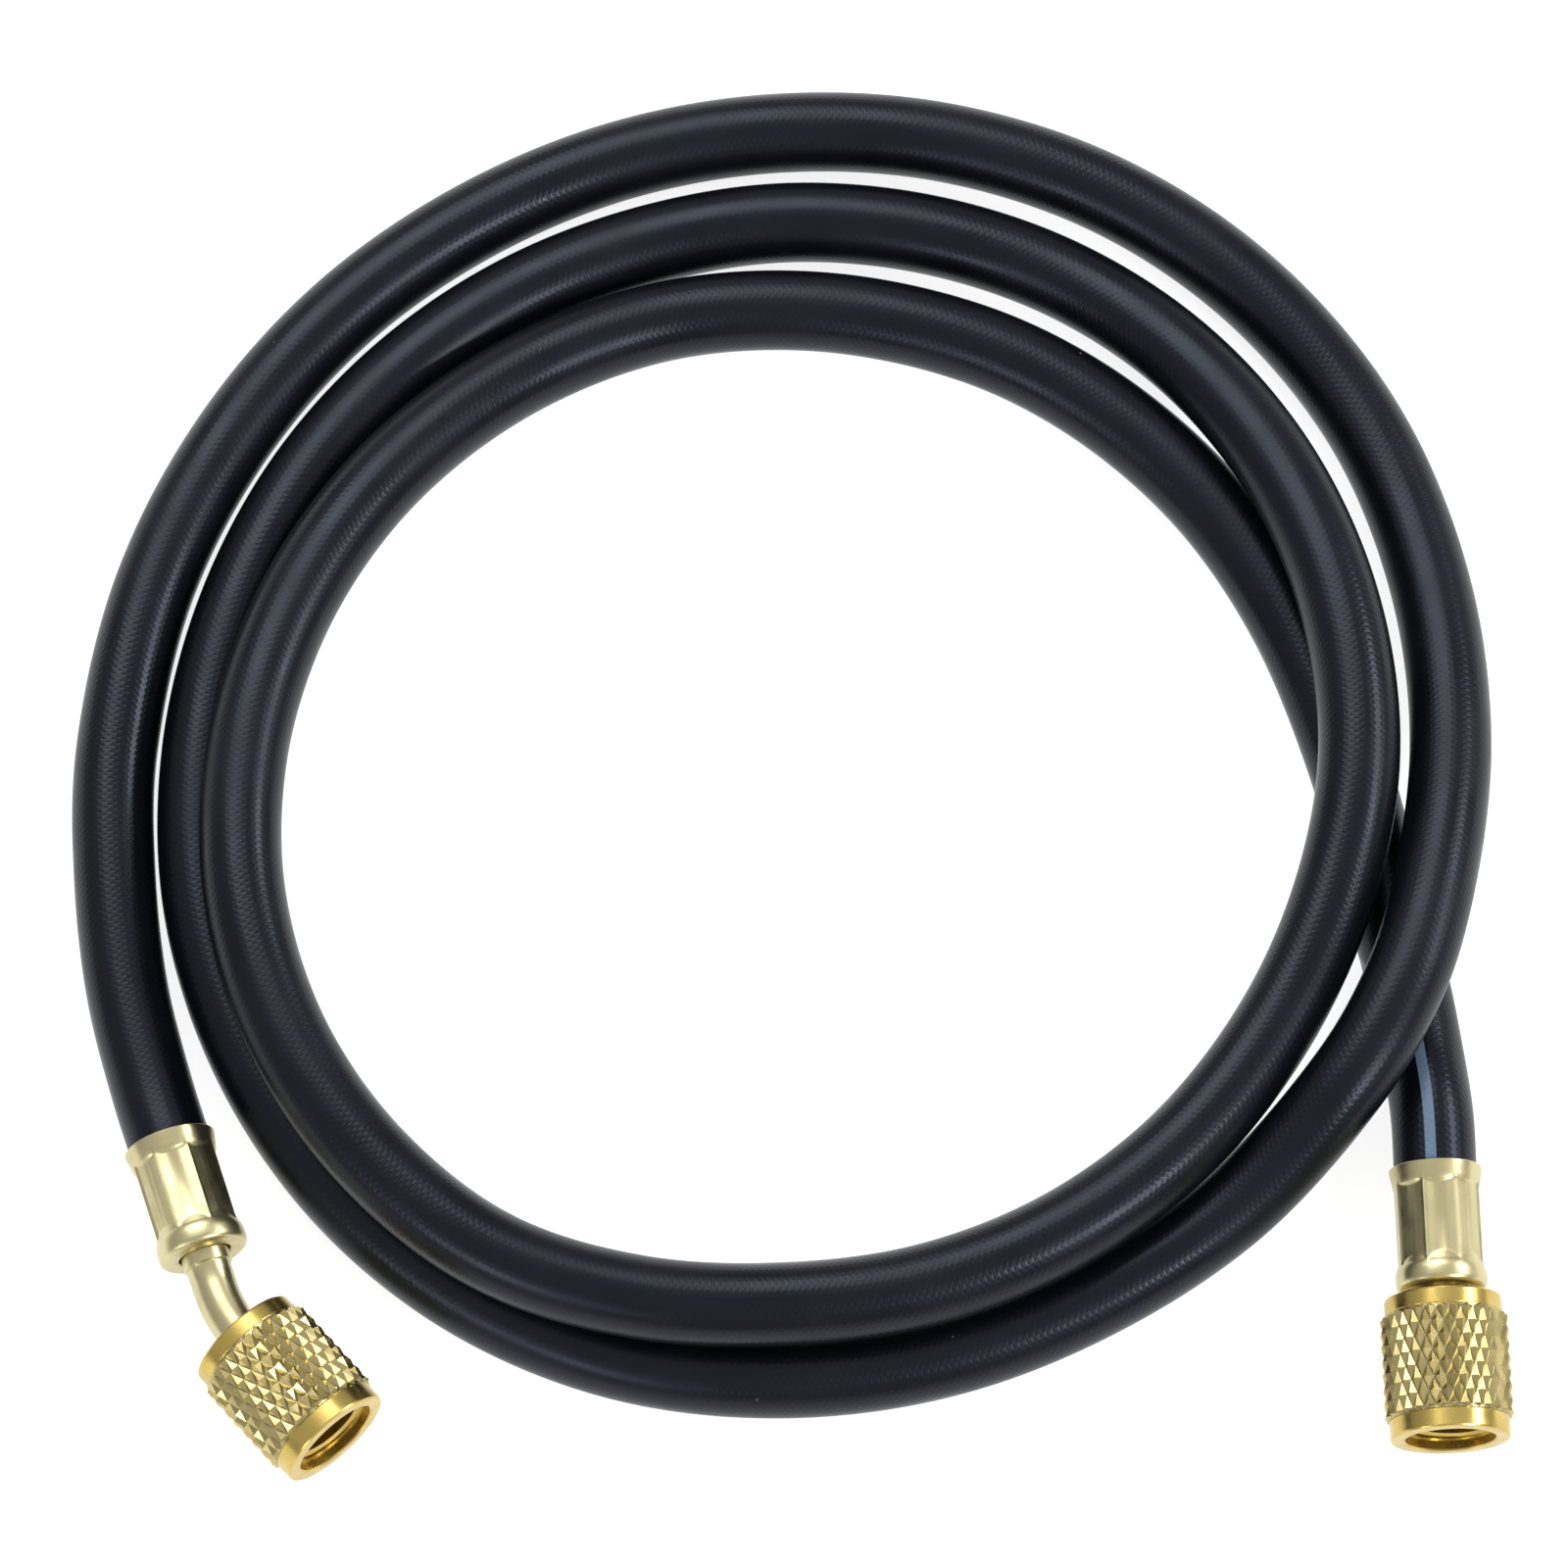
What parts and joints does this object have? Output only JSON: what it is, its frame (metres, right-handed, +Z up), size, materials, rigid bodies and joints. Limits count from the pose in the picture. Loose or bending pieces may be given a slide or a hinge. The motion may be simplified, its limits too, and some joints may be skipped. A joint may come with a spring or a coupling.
{
  "type": "refrigerant charging hose",
  "caption": "Coiled black rubber charging hose with crimped brass ferrules and knurled flare nuts, one end bent.",
  "frame": {"origin": "on the floor, under the middle of the coil's box", "axes": "+Z up; both nuts open towards -Y, the straight end on the +X side"},
  "size_m": [0.2003, 0.2065, 0.0242],
  "materials": {
    "hose_rubber": "semi-gloss extruded cover with a faint braid imprint",
    "ferrule_brass": "pale bright dip",
    "nut_brass": "turned and knurled",
    "gasket_rubber": "moulded"
  },
  "bodies": {
    "hose_and_stems": {"hose": "hose_rubber", "bent_end_ferrule": "ferrule_brass", "bent_end_stem": "ferrule_brass", "bent_end_gasket": "gasket_rubber", "bent_end_core_depressor": "nut_brass", "straight_end_ferrule": "ferrule_brass", "straight_end_stem": "ferrule_brass", "straight_end_gasket": "gasket_rubber"},
    "bent_end_nut": {"bent_end_nut": "nut_brass"},
    "straight_end_nut": {"straight_end_nut": "nut_brass"}
  },
  "joints": [
    {"name": "bent_end_nut_spin", "type": "hinge", "parent": "hose_and_stems", "child": "bent_end_nut", "pos_m": [-0.07461, -0.08301, 0.00868], "axis": [0.6658, -0.7434, 0.064], "continuous": true},
    {"name": "straight_end_nut_spin", "type": "hinge", "parent": "hose_and_stems", "child": "straight_end_nut", "pos_m": [0.09045, -0.07779, 0.00885], "axis": [0.0297, -0.9996, 0], "continuous": true}
  ]
}
